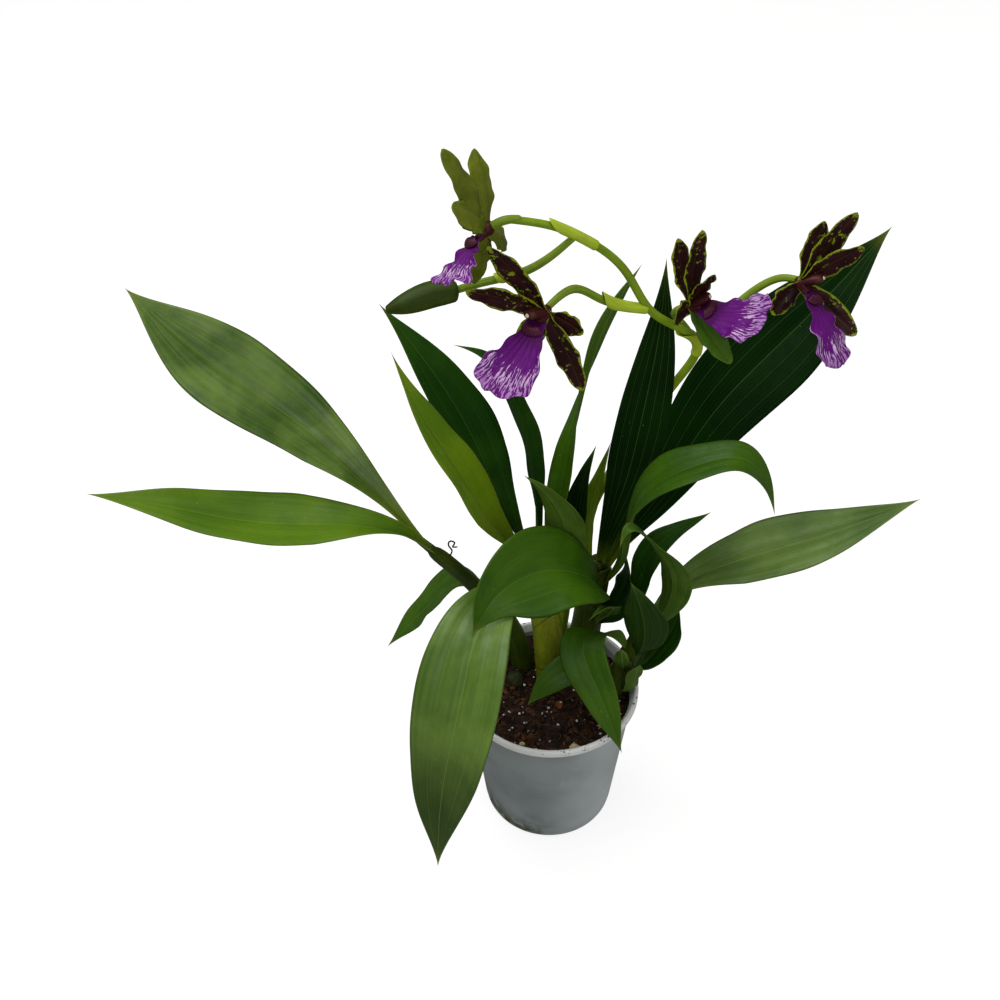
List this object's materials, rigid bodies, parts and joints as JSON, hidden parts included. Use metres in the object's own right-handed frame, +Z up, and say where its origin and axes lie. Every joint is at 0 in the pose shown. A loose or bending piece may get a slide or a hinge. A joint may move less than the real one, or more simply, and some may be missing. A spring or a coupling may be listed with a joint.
{
  "type": "zygopetalum orchid",
  "caption": "Flowering zygopetalum orchid in a tapered nursery pot, with long pleated leaves and an arching spike of maroon and violet blooms.",
  "frame": {"origin": "centre of the pot's flat underside", "axes": "+Z up, +X to the right of the plant as usually seen, -Y towards the viewer"},
  "size_m": [0.4983, 0.2172, 0.4961],
  "materials": {
    "pot": "slate grey with a dusty white lip",
    "soil": "damp bark and fibre mix",
    "leaf": "satin green blade",
    "sheath": "yellow-green leaf bases",
    "stem": "fresh green stalk",
    "bud": "satin dark green",
    "scale": "dry brown scale",
    "wire": "black coated wire",
    "tepal": "maroon with yellow-green margin",
    "lip": "violet with white streaks"
  },
  "bodies": {
    "root": {"pot": "pot", "soil": "soil", "old_bulb": "sheath", "flower_stem": "stem", "bud": "bud", "papery_scale": "scale", "wire_tie": "wire", "shoot_left": "sheath", "shoot_centre": "sheath", "shoot_right": "sheath", "shoot_side": "sheath", "leaf_left_long": "leaf", "leaf_left_level": "leaf", "leaf_left_back": "leaf", "leaf_tall_dark": "leaf", "leaf_tall_bright": "leaf", "leaf_tall_thin": "leaf", "leaf_twisted": "leaf", "leaf_small_upright": "leaf", "leaf_front_long": "leaf", "leaf_right_tall": "leaf", "leaf_right_long": "leaf", "leaf_arched": "leaf", "leaf_front_broad": "leaf", "leaf_small_dark": "leaf", "leaf_small_yellow": "leaf", "leaf_pointing_down": "leaf", "leaf_inner_dark": "leaf", "leaf_right_level": "leaf", "leaf_right_short": "leaf", "leaf_curled": "leaf", "leaf_over_rim": "leaf", "leaf_low_front": "leaf", "leaf_side_upright": "leaf", "leaf_side_short": "leaf", "leaf_side_tiny": "leaf", "leaf_side_low": "leaf", "flower_1_whorl": "tepal", "flower_2_whorl": "tepal", "flower_3_whorl": "tepal", "flower_4_whorl": "tepal", "flower_1_lip": "lip", "flower_2_lip": "lip", "flower_3_lip": "lip", "flower_4_lip": "lip"}
  },
  "joints": []
}
